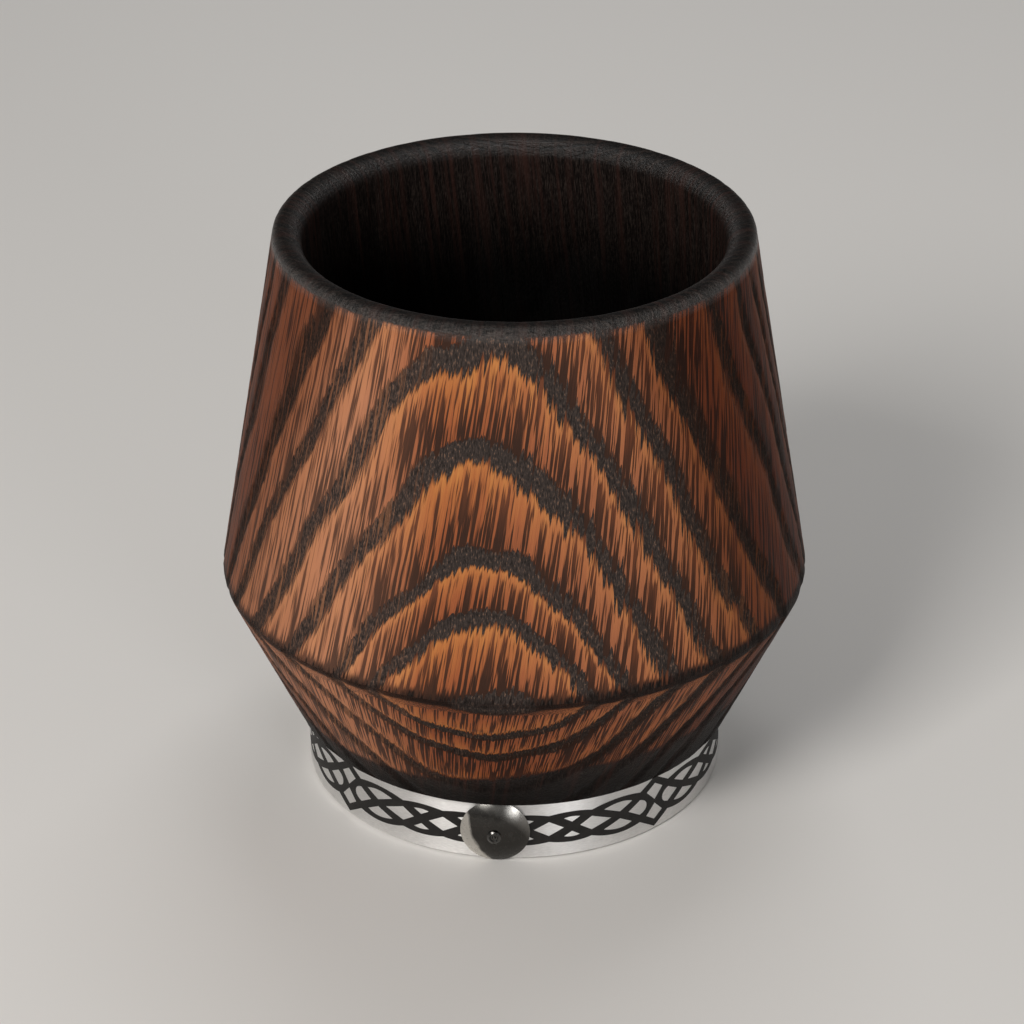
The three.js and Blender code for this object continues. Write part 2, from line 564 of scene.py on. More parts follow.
@dataclass(frozen=True)
class Grain:
    """The coordinates, noises and masks that the steps of the wood's finish share.

    Attributes:
        pal: The finish's nodes.
        place: Object coordinates in millimetres.
        z: Height.
        radius: Distance from the axis.
        ring: Number of the growth ring.
        char: How far fire has blackened the wood, with painted shade added.
        streak: Broad streaks along the fibres.
        strand: Narrow streaks.
        hair: Finest streaks.
        grit: Short pores of the burnt bands.
        side: Sine of the angle round the axis, -1 on the left and 1 on the right.
        right: Share of the right flank.
        sheen_flank: Share of the left flank, which gets a painted sheen.
        left: Share of the left flank and the back.
        below: Share of the cone under the belly.
        crisp: Share of the surface with hard streaks.
        threads: Streaks that the gate cuts into bright and dark ones.
    """

    pal: Palette
    place: Socket
    z: Socket
    radius: Socket
    ring: Socket
    char: Socket
    streak: Socket
    strand: Socket
    hair: Socket
    grit: Socket
    side: Socket
    right: Socket
    sheen_flank: Socket
    left: Socket
    below: Socket
    crisp: Socket
    threads: Socket


@dataclass(frozen=True)
class CharredWood:
    """Fire-charred and brushed ring-porous wood: burnt porous bands between orange streaks, with painted
    light and shade.

    Lengths are in millimetres and ring shares count from the start of a ring's porous wood. A range gives
    the two values between which a share runs from 0 to 1.
    """

    # Burnt porous bands
    early_end: float = 0.25
    band_edge: float = 0.02
    upper_rag: float = 0.25
    lower_rag: float = 0.34
    leg_rag: float = 0.5
    left_slant: float = 0.4
    leg_width: float = 0.08
    left_width: float = 0.07
    thinning: float = 0.06
    breach_range: Range = (0.58, 0.62)
    breach_share: float = 0.3
    rag_streak: float = 0.4
    rag_hair: float = 0.18

    # Fibres and pores
    fibre_lean: float = math.radians(0.20)
    fibre_fan: float = math.radians(0.05)
    fibre_level: float = 60.0
    fibre_ring: float = 40.0
    lower_ring: float = 60.0
    upper_run: float = 0.034
    lower_run: float = 0.06
    streak_speckle: Speckle = Speckle(0.75)
    strand_speckle: Speckle = Speckle(2.6, detail=1.0)
    hair_speckle: Speckle = Speckle(7.5)
    grit_speckle: Speckle = Speckle(5.2, roughness=0.6)
    grit_stretch: Triple = (1.0, 1.0, 0.22)
    pore_speckle: Speckle = Speckle(2.6, 3.0, 0.6)
    pore_stretch: Triple = (0.6, 1.0, 1.0)
    layer_scale: float = 6.0
    layer_speckle: Speckle = Speckle(1.0, 3.0, 0.6)
    keenness: float = 0.4
    thread_streak: float = 0.3
    thread_hair: float = 0.3

    # Stretches of the surface
    belly_height: float = 34.7
    belly_blend: Range = (0.5, -1.5)
    facing_range: Range = (0.45, 0.75)
    right_range: Range = (-0.05, 0.45)
    sheen_flank_range: Range = (-0.2, -0.5)
    # Where the painted shade of the far sides runs.
    flank_range: Range = (0.6, 0.95)
    flank_share: float = 0.85
    # Where the painted shade of the lower cone runs: strongest low down and on the right.
    low_height: float = 20.0
    low_sides: Range = (-0.6, 0.1)
    low_least: float = 0.3
    inner_rings: Range = (2.7, 0.8)
    innermost_rings: Range = (-5.0, -1.0)
    innermost_share: float = 0.6
    lip_range: Range = (87.7, 89.9)
    bottom_radii: Range = (28.0, 24.0)
    bottom_heights: Range = (22.0, 17.0)
    # Where the brim is pale grey: worn charcoal and a painted highlight.
    brim_radii: Range = (34.1, 34.9)
    brim_heights: Range = (88.6, 89.3)
    bend_below: Range = (87.8, 89.0)
    bend_above: Range = (90.38, 89.8)

    # Bright streaks; a gate is how high a thread must reach at a band's end, and how much higher soon after
    # it and at the ring's end
    front_gate: Triple = (0.37, 0.122, 0.08)
    left_gate: Triple = (0.40, 0.06, 0.05)
    late_length: float = 0.72
    soon: float = 0.24
    low_evenness: float = 0.6
    singed_range: Range = (0.1, 0.7)
    singed_gate: float = 0.10
    softness: float = 0.05
    soft_change: float = 0.02

    # Colours
    bright: Stops = (
        (0.0, shade(185, 121, 66)),
        (0.3, shade(170, 103, 59)),
        (0.6, shade(150, 85, 52)),
        (1.0, shade(130, 72, 46)),
    )
    glow_start: float = 0.14
    glow_run: float = 0.7
    glow_streak: float = -0.8
    glow_hair: float = -0.6
    # Painted sheen: a paler, pinker tone on the left flank and a little on the right.
    tan: Colour = shade(197, 140, 108)
    sheen_left: float = 0.55
    sheen_right: float = 0.2
    scorched: Stops = ((0.0, shade(106, 62, 42)), (0.4, shade(76, 47, 34)), (0.8, shade(56, 37, 29)))
    dusk_hair: float = -0.8
    # Painted sheen: a paler tone on the dark wood and the coal of the left flank.
    dark_sheen: Colour = shade(108, 78, 64)
    dark_sheen_share: float = 0.4
    dark_sheen_grit: Range = (0.42, 0.62)
    dark_sheen_most: float = 0.35
    # Painted glints: the palest stop gives pale specks in the burnt bands.
    coal: Stops = (
        (0.32, shade(35, 30, 28)),
        (0.47, shade(53, 46, 43)),
        (0.60, shade(66, 57, 53)),
        (0.74, shade(128, 98, 80)),
    )
    red_tint: Colour = (0.43, 0.31, 0.25)
    # Painted shade under the belly: a tint for the bright wood, then one for the dark wood.
    low_bright_shade: Colour = (0.70, 0.58, 0.48)
    low_shade: Colour = (0.40, 0.30, 0.24)
    # Painted shade on both far sides.
    far_side_shade: Colour = (0.72, 0.63, 0.56)
    soot: Stops = ((0.3, shade(11, 8, 7)), (0.5, shade(25, 19, 17)), (0.75, shade(50, 42, 38)))
    fume_grit: float = 1.0
    sawn_tone: float = 0.45
    sawn_layers: float = 2.8
    sawn_pores: float = 1.8
    ember: Colour = shade(54, 34, 29)
    ember_range: Range = (0.5, 0.7)
    ember_most: float = 0.8
    # Pale grey on the brim: worn charcoal and a painted highlight.
    wear_and_highlight: Colour = shade(100, 93, 89)
    brim_highlight_range: Range = (0.4, 0.65)
    brim_highlight_most: float = 0.35
    brim_highlight_pores: float = 0.5
    burn_range: Range = (0.46, 0.7)
    burn_strand: float = 0.9
    burn_hair: float = 0.4
    # Painted shade: how dark the soot gets half way down the well.
    deepest_shade: float = 0.05

    # Surface
    roughness: float = 0.5
    band_roughness: float = 0.12
    hair_roughness: float = 0.2
    bend_smoothing: float = 0.1
    gloss_level: float = 0.08
    lip_coat: float = 0.8
    lip_coat_roughness: float = 0.42
    relief: float = 0.12 * MM
    relief_share: float = 0.9
    pit_burn: float = 0.9
    pit_relief: float = 1.8
    hair_relief: float = 0.4
    strand_relief: float = 0.5
    sawn_relief: float = 4.0

    def fibre(self, pal: Palette, angle: Socket, z: Socket) -> Socket:
        """Lays the fibres along the turned surface, leaning a little and fanning to the right.

        Args:
            pal: The finish's nodes.
            angle: Angle round the axis, 0 at the front and growing to the right.
            z: Height.

        Returns:
            Coordinates that change slowly along a fibre and quickly across it.
        """
        slope = pal.math("MULTIPLY_ADD", pal.math("SINE", angle), self.fibre_fan, self.fibre_lean)
        rise = pal.minus(z, self.fibre_level)
        turned = pal.minus(angle, pal.times(slope, rise))
        above = pal.minus(z, self.belly_height)
        ring = pal.remap(above, *self.belly_blend, self.fibre_ring, self.lower_ring)
        upper = pal.times(pal.math("MAXIMUM", above, 0.0), self.upper_run)
        lower = pal.times(pal.math("MINIMUM", above, 0.0), self.lower_run)
        return pal.join(
            pal.times(pal.math("SINE", turned), ring),
            pal.times(pal.math("COSINE", turned), ring),
            pal.math("ADD", upper, lower),
        )

    def grain(self, pal: Palette) -> Grain:
        """Sets up what the steps of the finish share.

        Args:
            pal: The finish's nodes.

        Returns:
            The wood's coordinates, noises and masks.
        """
        place = pal.places()
        x, y, z = pal.split(place)
        angle = pal.math("ARCTAN2", x, pal.times(y, -1.0))
        fibre = self.fibre(pal, angle, z)
        streak = pal.noise(fibre, self.streak_speckle)
        strand = pal.noise(fibre, self.strand_speckle)
        hair = pal.noise(fibre, self.hair_speckle)
        side = pal.math("SINE", angle)
        facing = pal.remap(pal.math("COSINE", angle), *self.facing_range)
        right = pal.times(pal.remap(side, *self.right_range), facing)
        sheen_flank = pal.remap(side, *self.sheen_flank_range)
        below = pal.remap(pal.minus(z, self.belly_height), *self.belly_blend)
        crisp = pal.math("MAXIMUM", right, below)
        keen = pal.times(crisp, self.keenness)
        keen = pal.times(pal.minus(strand, NOISE_MIDDLE), keen)
        threads = pal.sway(pal.math("ADD", strand, keen), streak, self.thread_streak)
        return Grain(
            pal=pal,
            place=place,
            z=z,
            radius=pal.math("SQRT", pal.math("MULTIPLY_ADD", x, x, pal.times(y, y))),
            ring=pal.attribute("ring"),
            char=pal.attribute("char"),
            streak=streak,
            strand=strand,
            hair=hair,
            grit=pal.noise(pal.stretch(place, self.grit_stretch), self.grit_speckle),
            side=side,
            right=right,
            sheen_flank=sheen_flank,
            left=pal.math("MAXIMUM", sheen_flank, pal.minus(1.0, facing)),
            below=below,
            crisp=crisp,
            threads=pal.sway(threads, hair, self.thread_hair),
        )

    def bands(self, grain: Grain) -> tuple[Socket, Socket]:
        """Finds the burnt porous bands, with edges as ragged as the fibres.

        Args:
            grain: The wood's shared sockets.

        Returns:
            The share of band, and the way from a band's end to the ring's end.
        """
        pal = grain.pal
        swing = pal.sway(grain.strand, grain.streak, self.rag_streak)
        swing = pal.minus(pal.sway(swing, grain.hair, self.rag_hair), NOISE_MIDDLE)
        slant = pal.math("MULTIPLY_ADD", grain.left, self.left_slant, grain.right)
        upper = pal.times(swing, pal.math("MULTIPLY_ADD", slant, self.leg_rag, self.upper_rag))
        lower = pal.times(swing, pal.math("MULTIPLY_ADD", slant, self.leg_rag, self.lower_rag))
        part = pal.math("FRACT", pal.math("ADD", grain.ring, upper))
        edge = pal.minus(part, pal.math("ADD", upper, lower))
        end = pal.math("MULTIPLY_ADD", grain.below, -self.thinning, self.early_end)
        end = pal.math("MULTIPLY_ADD", grain.right, self.leg_width, end)
        above = pal.minus(1.0, grain.below)
        end = pal.math("MULTIPLY_ADD", pal.times(grain.sheen_flank, above), self.left_width, end)
        early = pal.remap(pal.minus(edge, end), -self.band_edge, self.band_edge, 1.0, 0.0)
        breach = pal.times(grain.left, self.breach_share)
        breach = pal.times(pal.remap(grain.threads, *self.breach_range), breach)
        early = pal.times(early, pal.minus(1.0, breach))
        return early, pal.remap(pal.minus(part, end), 0.0, self.late_length)

    def streaks(self, grain: Grain, early: Socket, late: Socket) -> Socket:
        """Finds the bright streaks, fewer towards the ring's end and where fire and painted shade have
        darkened the wood.

        Args:
            grain: The wood's shared sockets.
            early: Share of band.
            late: The way from a band's end to the ring's end.

        Returns:
            The share of bright wood.
        """
        pal = grain.pal
        near = pal.remap(late, 0.0, self.soon)
        far = pal.remap(late, self.soon, 1.0)
        gates = []
        for first, rise, last in (self.front_gate, self.left_gate):
            gates.append(pal.math("MULTIPLY_ADD", near, rise, pal.math("MULTIPLY_ADD", far, last, first)))
        even = pal.math("MAXIMUM", grain.left, pal.times(grain.below, self.low_evenness))
        gate = pal.math("MULTIPLY_ADD", even, pal.minus(gates[1], gates[0]), gates[0])
        gate = pal.math("MULTIPLY_ADD", pal.remap(grain.char, *self.singed_range), self.singed_gate, gate)
        soft = pal.math("MULTIPLY_ADD", grain.crisp, -self.soft_change, self.softness)
        soft = pal.math("MULTIPLY_ADD", grain.left, self.soft_change, soft)
        lit = pal.remap(pal.math("DIVIDE", pal.minus(grain.threads, gate), soft), -1.0, 1.0)
        return pal.times(lit, pal.minus(1.0, early))

    def brushed(self, grain: Grain, early: Socket, late: Socket, shown: Socket) -> Socket:
        """Colours the brushed wood: bright and scorched streaks between bands of coal, with a painted sheen
        on the left flank and painted glints in the coal.

        Args:
            grain: The wood's shared sockets.
            early: Share of band.
            late: The way from a band's end to the ring's end.
            shown: Share of bright wood.

        Returns:
            The colour.
        """
        pal = grain.pal
        tone = pal.math("MULTIPLY_ADD", late, self.glow_run, self.glow_start)
        tone = pal.sway(tone, grain.streak, self.glow_streak)
        glow = pal.ramp(pal.sway(tone, grain.hair, self.glow_hair), self.bright)
        # Painted sheen on the left flank and a little on the right.
        tan = pal.times(grain.sheen_flank, self.sheen_left)
        tan = pal.math("MULTIPLY_ADD", grain.right, self.sheen_right, tan)
        glow = pal.mix(tan, glow, self.tan)
        dusk = pal.ramp(pal.sway(late, grain.hair, self.dusk_hair), self.scorched)
        # Painted sheen on the dark wood and the coal of the left flank.
        dusk = pal.mix(pal.times(grain.sheen_flank, self.dark_sheen_share), dusk, self.dark_sheen)
        pale = pal.times(grain.sheen_flank, pal.remap(grain.grit, *self.dark_sheen_grit, 0.0, self.dark_sheen_most))
        coal = pal.mix(pale, pal.ramp(grain.grit, self.coal), self.dark_sheen)
        return pal.mix(shown, pal.mix(early, dusk, coal), glow)

    def darkened(self, grain: Grain, wood: Socket, shown: Socket) -> Socket:
        """Darkens and reddens the inner rings, and paints shade on the lower cone and the far sides.

        Args:
            grain: The wood's shared sockets.
            wood: The brushed wood's colour.
            shown: Share of bright wood.

        Returns:
            The colour.
        """
        pal = grain.pal
        innermost = pal.remap(grain.ring, *self.innermost_rings, self.innermost_share, 1.0)
        inner = pal.times(pal.remap(grain.ring, *self.inner_rings), innermost)
        wood = pal.mix(inner, wood, self.red_tint, "MULTIPLY")
        # Painted shade on the lower cone, strongest low down and on the right.
        low = pal.remap(grain.z, self.belly_height, self.low_height, self.low_least, 1.0)
        low = pal.times(low, pal.remap(grain.side, *self.low_sides, self.low_least, 1.0))
        low = pal.times(low, grain.below)
        wood = pal.mix(low, wood, pal.mix(shown, self.low_shade, self.low_bright_shade), "MULTIPLY")
        # Painted shade on both far sides.
        far_side = pal.remap(pal.math("ABSOLUTE", grain.side), *self.flank_range, 0.0, self.flank_share)
        return pal.mix(far_side, wood, self.far_side_shade, "MULTIPLY")

    def sooty(self, grain: Grain, fume: Socket, pores: Socket) -> Socket:
        """Colours the soot: browner in streaks, pale grey on the brim as worn charcoal and a painted
        highlight, and darkened down the well as painted shade, darkest half way down.

        Args:
            grain: The wood's shared sockets.
            fume: The soot's tone.
            pores: Round pores of the sawn faces.

        Returns:
            The colour.
        """
        pal = grain.pal
        soot = pal.ramp(fume, self.soot)
        soot = pal.mix(pal.remap(grain.streak, *self.ember_range, 0.0, self.ember_most), soot, self.ember)
        # Pale grey on the brim: worn charcoal and a painted highlight.
        brim = pal.times(pal.remap(grain.radius, *self.brim_radii), pal.remap(grain.z, *self.brim_heights))
        brim_highlight = pal.sway(grain.hair, pores, self.brim_highlight_pores)
        brim_highlight = pal.remap(brim_highlight, *self.brim_highlight_range, 0.0, self.brim_highlight_most)
        soot = pal.mix(pal.times(brim, brim_highlight), soot, self.wear_and_highlight)
        # Painted shade darkens the soot down the well, darkest half way down; the lip's top is a little
        # darker too.
        depth = pal.remap(grain.char, 1.0, 2.0, 1.0, self.deepest_shade)
        return pal.mix(1.0, soot, pal.join(depth, depth, depth), "MULTIPLY")

    def sawn(self, grain: Grain) -> Socket:
        """Finds the faces across the fibres: the lip, the well's floor and the base.

        Args:
            grain: The wood's shared sockets.

        Returns:
            Their share.
        """
        pal = grain.pal
        middle = pal.remap(grain.radius, *self.bottom_radii)
        bottom = pal.times(middle, pal.remap(grain.z, *self.bottom_heights))
        return pal.math("MAXIMUM", pal.remap(grain.z, *self.lip_range), bottom)

    def material(self) -> bpy.types.Material:
        """Builds the finish.

        Returns:
            The material, which reads the mesh's ring numbers and its blackening by fire and painted shade.
        """
        pal = Palette("charred_wood")
        grain = self.grain(pal)
        early, late = self.bands(grain)
        shown = self.streaks(grain, early, late)
        wood = self.darkened(grain, self.brushed(grain, early, late, shown), shown)

        sawn = self.sawn(grain)
        layers = pal.join(pal.times(grain.ring, self.layer_scale), 0.0, 0.0)
        pores = pal.noise(pal.stretch(grain.place, self.pore_stretch), self.pore_speckle)
        end_grain = pal.sway(self.sawn_tone, pal.noise(layers, self.layer_speckle), self.sawn_layers)
        end_grain = pal.sway(end_grain, pores, self.sawn_pores)
        fume = pal.mix(sawn, pal.sway(grain.hair, grain.grit, self.fume_grit), end_grain)
        burn = pal.sway(grain.char, grain.strand, self.burn_strand)
        burn = pal.remap(pal.sway(burn, grain.hair, self.burn_hair), *self.burn_range)

        pits = pal.times(grain.grit, pal.math("MAXIMUM", early, pal.times(burn, self.pit_burn)))
        lines = pal.times(grain.strand, self.strand_relief)
        lines = pal.math("MULTIPLY_ADD", grain.hair, self.hair_relief, lines)
        flank = pal.math("MULTIPLY_ADD", pits, self.pit_relief, lines)
        height = pal.mix(sawn, flank, pal.times(end_grain, self.sawn_relief))
        uneven = pal.bump(height, self.relief, self.relief_share)

        bend = pal.times(pal.remap(grain.z, *self.bend_below), pal.remap(grain.z, *self.bend_above))
        rough = pal.math("MULTIPLY_ADD", early, self.band_roughness, self.roughness)
        rough = pal.math("MULTIPLY_ADD", bend, -self.bend_smoothing, rough)
        pal.set(
            Base_Color=pal.mix(burn, wood, self.sooty(grain, fume, pores)),
            Roughness=pal.sway(rough, grain.hair, self.hair_roughness),
            Specular_IOR_Level=self.gloss_level,
            Coat_Weight=pal.times(bend, self.lip_coat),
            Coat_Roughness=self.lip_coat_roughness,
            Coat_Normal=uneven,
        )
        return pal.material


@dataclass(frozen=True)
class BrushedBand:
    """Silvery strip metal, brushed along its length."""

    colour: Colour = (0.93, 0.92, 0.91)
    worn: Colour = (0.76, 0.75, 0.74)
    radius: float = 32.45
    line_speckle: Speckle = Speckle(9.0, 3.0, 0.6)
    line_stretch: float = 0.12
    cloud_speckle: Speckle = Speckle(0.22, 3.0, 0.55)
    cloud_wear: float = 0.6
    swing: Range = (0.3, 0.7)
    roughness: Range = (0.38, 0.50)
    anisotropy: float = 0.8
    quarter_turn: float = 0.25
    line_depth: float = 0.009 * MM

    def material(self) -> bpy.types.Material:
        """Builds the finish.

        Returns:
            The material.
        """
        pal = Palette("brushed_band")
        x, y, z = pal.split(pal.places())
        along = pal.times(pal.math("ARCTAN2", x, y), self.radius)
        brushed = pal.join(pal.times(along, self.line_stretch), z, 0.0)
        lines = pal.noise(brushed, self.line_speckle)
        cloud = pal.noise(pal.join(along, z, 0.0), self.cloud_speckle)
        wear = pal.remap(pal.sway(lines, cloud, self.cloud_wear), *self.swing)
        pal.set(
            Base_Color=pal.mix(wear, self.worn, self.colour),
            Metallic=1.0,
            Roughness=pal.remap(lines, *self.swing, *self.roughness),
            Anisotropic=self.anisotropy,
            Anisotropic_Rotation=self.quarter_turn,
            Tangent=pal.along_ring(),
        )
        pal.bump(lines, self.line_depth)
        return pal.material


@dataclass(frozen=True)
class BlackEnamel:
    """Matt black enamel in the drawn strands."""

    colour: Colour = shade(17, 15, 14)
    dusty: Colour = shade(30, 27, 25)
    cloud_speckle: Speckle = Speckle(0.8, 4.0, 0.6)
    grain_speckle: Speckle = Speckle(9.0)
    dusty_range: Range = (0.4, 0.7)
    grain_range: Range = (0.3, 0.7)
    roughness: Range = (0.5, 0.68)
    gloss_level: float = 0.35
    grain_depth: float = 0.006 * MM

    def material(self) -> bpy.types.Material:
        """Builds the finish.

        Returns:
            The material.
        """
        pal = Palette("black_enamel")
        place = pal.places()
        cloud = pal.noise(place, self.cloud_speckle)
        grain = pal.noise(place, self.grain_speckle)
        pal.set(
            Base_Color=pal.mix(pal.remap(cloud, *self.dusty_range), self.colour, self.dusty),
            Roughness=pal.remap(grain, *self.grain_range, *self.roughness),
            Specular_IOR_Level=self.gloss_level,
        )
        pal.bump(grain, self.grain_depth)
        return pal.material


@dataclass(frozen=True)
class PolishedStud:
    """Polished metal with fine scratches and smudges, darkened as painted shade, with a painted reflection
    along one flank and a painted highlight on one shoulder.

    The painted reflection and the painted highlight lie outside circles in the stud's own plane, in
    millimetres.
    """

    name: str = "polished_stud"
    # Painted shade: the metal is darkened well below steel's colour, so that it shows dark reflections.
    colour: Colour = (0.060, 0.057, 0.053)
    worn: Colour = (0.13, 0.125, 0.115)
    # Painted reflection: bare, pale metal in a crescent on the lower left flank.
    bare: Colour = (0.60, 0.58, 0.54)
    reflection_middle: Pair = (10.3, 9.65)
    reflection_radius: float = 14.2
    # Painted highlight: paler, worn metal on the upper right shoulder.
    wear_and_highlight: Colour = (0.36, 0.35, 0.33)
    highlight_middle: Pair = (-1.6, 1.8)
    highlight_reach: Range = (6.8, 9.6)
    gloss: float = 0.22
    smudge_speckle: Speckle = Speckle(0.55, 3.0, 0.6)
    smudge_wear: float = 0.6
    smudge_range: Range = (0.35, 0.75)
    smudge_roughness: float = 0.12
    scratch_speckle: Speckle = Speckle(6.0, 3.0, 0.6)
    scratch_wear: float = 0.5
    scratch_lean: float = 35.0
    scratch_stretch: Triple = (1.0, 1.0, 0.06)
    scratch_range: Range = (0.62, 0.72)
    scratch_roughness: float = 0.1
    scratch_relief: float = 0.3
    reflection_edge: float = 0.5
    reflection_rag: float = 0.8
    uneven_depth: float = 0.02 * MM

    @staticmethod
    def away(pal: Palette, place: Socket, middle: Pair) -> Socket:
        """Gives the distance in the stud's plane from a point of that plane.

        Args:
            pal: The finish's nodes.
            place: Object coordinates in millimetres.
            middle: The point, across and up.

        Returns:
            The distance.
        """
        x, _, z = pal.split(place)
        across = pal.minus(x, middle[0])
        upward = pal.minus(z, middle[1])
        squares = pal.math("MULTIPLY_ADD", across, across, pal.times(upward, upward))
        return pal.math("SQRT", squares)

    def material(self) -> bpy.types.Material:
        """Builds the finish.

        Returns:
            The material.
        """
        pal = Palette(self.name)
        place = pal.places()
        smudge = pal.noise(place, self.smudge_speckle)
        along = pal.stretch(pal.lean(place, self.scratch_lean), self.scratch_stretch)
        scratch = pal.noise(along, self.scratch_speckle)
        mark = pal.remap(scratch, *self.scratch_range)
        wear = pal.sway(pal.times(mark, self.scratch_wear), smudge, self.smudge_wear)
        tone = pal.mix(wear, self.colour, self.worn)
        # Painted highlight: paler, worn metal on the upper right shoulder.
        shoulder = pal.remap(self.away(pal, place, self.highlight_middle), *self.highlight_reach)
        tone = pal.mix(shoulder, tone, self.wear_and_highlight)
        # Painted reflection: bare, pale metal in a crescent on the lower left flank.
        reach = pal.sway(self.away(pal, place, self.reflection_middle), smudge, self.reflection_rag)
        bare = pal.remap(reach, self.reflection_radius, self.reflection_radius + self.reflection_edge)
        rough = pal.remap(smudge, *self.smudge_range, self.gloss, self.gloss + self.smudge_roughness)
        pal.set(
            Base_Color=pal.mix(bare, tone, self.bare),
            Metallic=1.0,
            Roughness=pal.math("MULTIPLY_ADD", mark, self.scratch_roughness, rough),
        )
        pal.bump(pal.math("MULTIPLY_ADD", scratch, self.scratch_relief, smudge), self.uneven_depth)
        return pal.material


@dataclass(frozen=True)
class PaleFloor:
    """Plain pale floor."""

    colour: Colour = (0.76, 0.745, 0.725)
    cloudy: Colour = (0.72, 0.705, 0.685)
    cloud_speckle: Speckle = Speckle(0.004)
    cloud_range: Range = (0.3, 0.7)
    cloud_share: float = 0.2
    roughness: float = 0.8

    def material(self) -> bpy.types.Material:
        """Builds the finish.

        Returns:
            The material.
        """
        pal = Palette("pale_floor")
        cloud = pal.noise(pal.places(), self.cloud_speckle)
        cloud = pal.remap(cloud, *self.cloud_range, 0.0, self.cloud_share)
        pal.set(Base_Color=pal.mix(cloud, self.colour, self.cloudy), Roughness=self.roughness)
        return pal.material


@dataclass(frozen=True)
class BurnAndShade:
    """Where fire has blackened the cup, with painted shade along the belly's edge, on the lower cone and down
    the well, and a painted shadow under the belly.

    Heights are in millimetres, and sides are in degrees from the front of the rings. A range runs from no
    effect to the full effect.
    """

    # Painted shade darkens the soot down the well; deep down it turns paler again.
    well_range: Range = (87.0, 66.0)
    deep_range: Range = (54.0, 26.0)
    deep_share: float = 1.4
    lip_range: Range = (89.8, 90.3)
    lip_share: float = 0.3
    rim_range: Range = (88.3, 89.7)
    # Burnt wood and painted shade along the belly's edge, more of both on the right.
    ridge_share: float = 0.62
    ridge_extra: float = 0.16
    ridge_sides: Range = (0.0, 25.0)
    ridge_below: Range = (33.8, 34.6)
    ridge_above: Range = (38.4, 35.2)
    foot_share: float = 0.95
    foot_height: float = 15.2
    foot_rise: float = 3.8
    foot_sides: Range = (-25.0, 12.0)
    foot_blend: Range = (4.0, -3.0)
    black_share: float = 0.75
    black_start: float = 1.0
    black_height: float = 11.5
    shadow_share: float = 0.16
    shadow_side: float = 18.0
    shadow_width: float = 13.0
    shadow_range: Range = (34.0, 28.0)
    # Singeing and painted shade on the lower cone, darker towards the foot.
    singe_share: float = 0.36
    singe_range: Range = (32.0, 16.0)

    def char(self, height: float, side: float, zone: Zone) -> float:
        """Says how far a point of the surface is blackened by fire and by painted shade.

        Args:
            height: The point's height.
            side: Its angle round the axis.
            zone: Its stretch.

        Returns:
            0 for wood colour, 1 for soot and up to 2 for soot darkened by painted shade.
        """
        if zone is Zone.WELL:
            return 1.0 + ease(height, *self.well_range) - self.deep_share * ease(height, *self.deep_range)
        if zone is not Zone.OUTSIDE:
            return 1.0 + self.lip_share * ease(height, *self.lip_range)
        rim = ease(height, *self.rim_range)
        ridge = self.ridge_share + self.ridge_extra * ease(side, *self.ridge_sides)
        ridge *= ease(height, *self.ridge_below) * ease(height, *self.ridge_above)
        edge = self.foot_height + self.foot_rise * ease(side, *self.foot_sides)
        foot = self.foot_share * ease(height, edge + self.foot_blend[0], edge + self.foot_blend[1])
        foot += self.black_share * ease(height, edge + self.black_start, self.black_height)
        shadow = self.shadow_share * math.exp(-(((side - self.shadow_side) / self.shadow_width) ** 2))
        # Singeing and painted shade on the lower cone, with the painted shadow under the belly.
        singe_and_shadow = self.singe_share * ease(height, *self.singe_range) + shadow * ease(height, *self.shadow_range)
        return max(rim, ridge, foot, singe_and_shadow)


@dataclass(frozen=True)
class WireBrush:
    """How deep a wire brush has worn the wood, as shares of its full depth."""

    full_depth: float = 0.32 * MM
    porous_start: Range = (0.0, 0.05)
    porous_end: Range = (0.36, 0.24)
    porous_depth: float = 0.8
    porous_rag: float = 0.5
    even_depth: float = 0.14
    rag_pitch: Triple = (1.3, 1.3, 0.16)
    lip_range: Range = (83.0, 88.0)
    lip_spared: float = 0.9
    foot_depth: float = 0.1

    def depth(self, point: Vector, ring: float, zone: Zone) -> float:
        """Says how deep the brush has gone at a point.

        Args:
            point: A place on the cup.
            ring: The number of its growth ring.
            zone: Its stretch.

        Returns:
            The share of the full depth.
        """
        if zone is Zone.FOOT:
            return self.foot_depth
        place = point / MM
        part = ring % 1.0
        porous = ease(part, *self.porous_start) * ease(part, *self.porous_end)
        rag = noise.noise(place * Vector(self.rag_pitch))
        depth = porous * (self.porous_depth + self.porous_rag * rag) + self.even_depth * (1 + rag)
        depth *= 1.0 - self.lip_spared * ease(place.z, *self.lip_range)
        return max(0.0, min(1.0, depth))


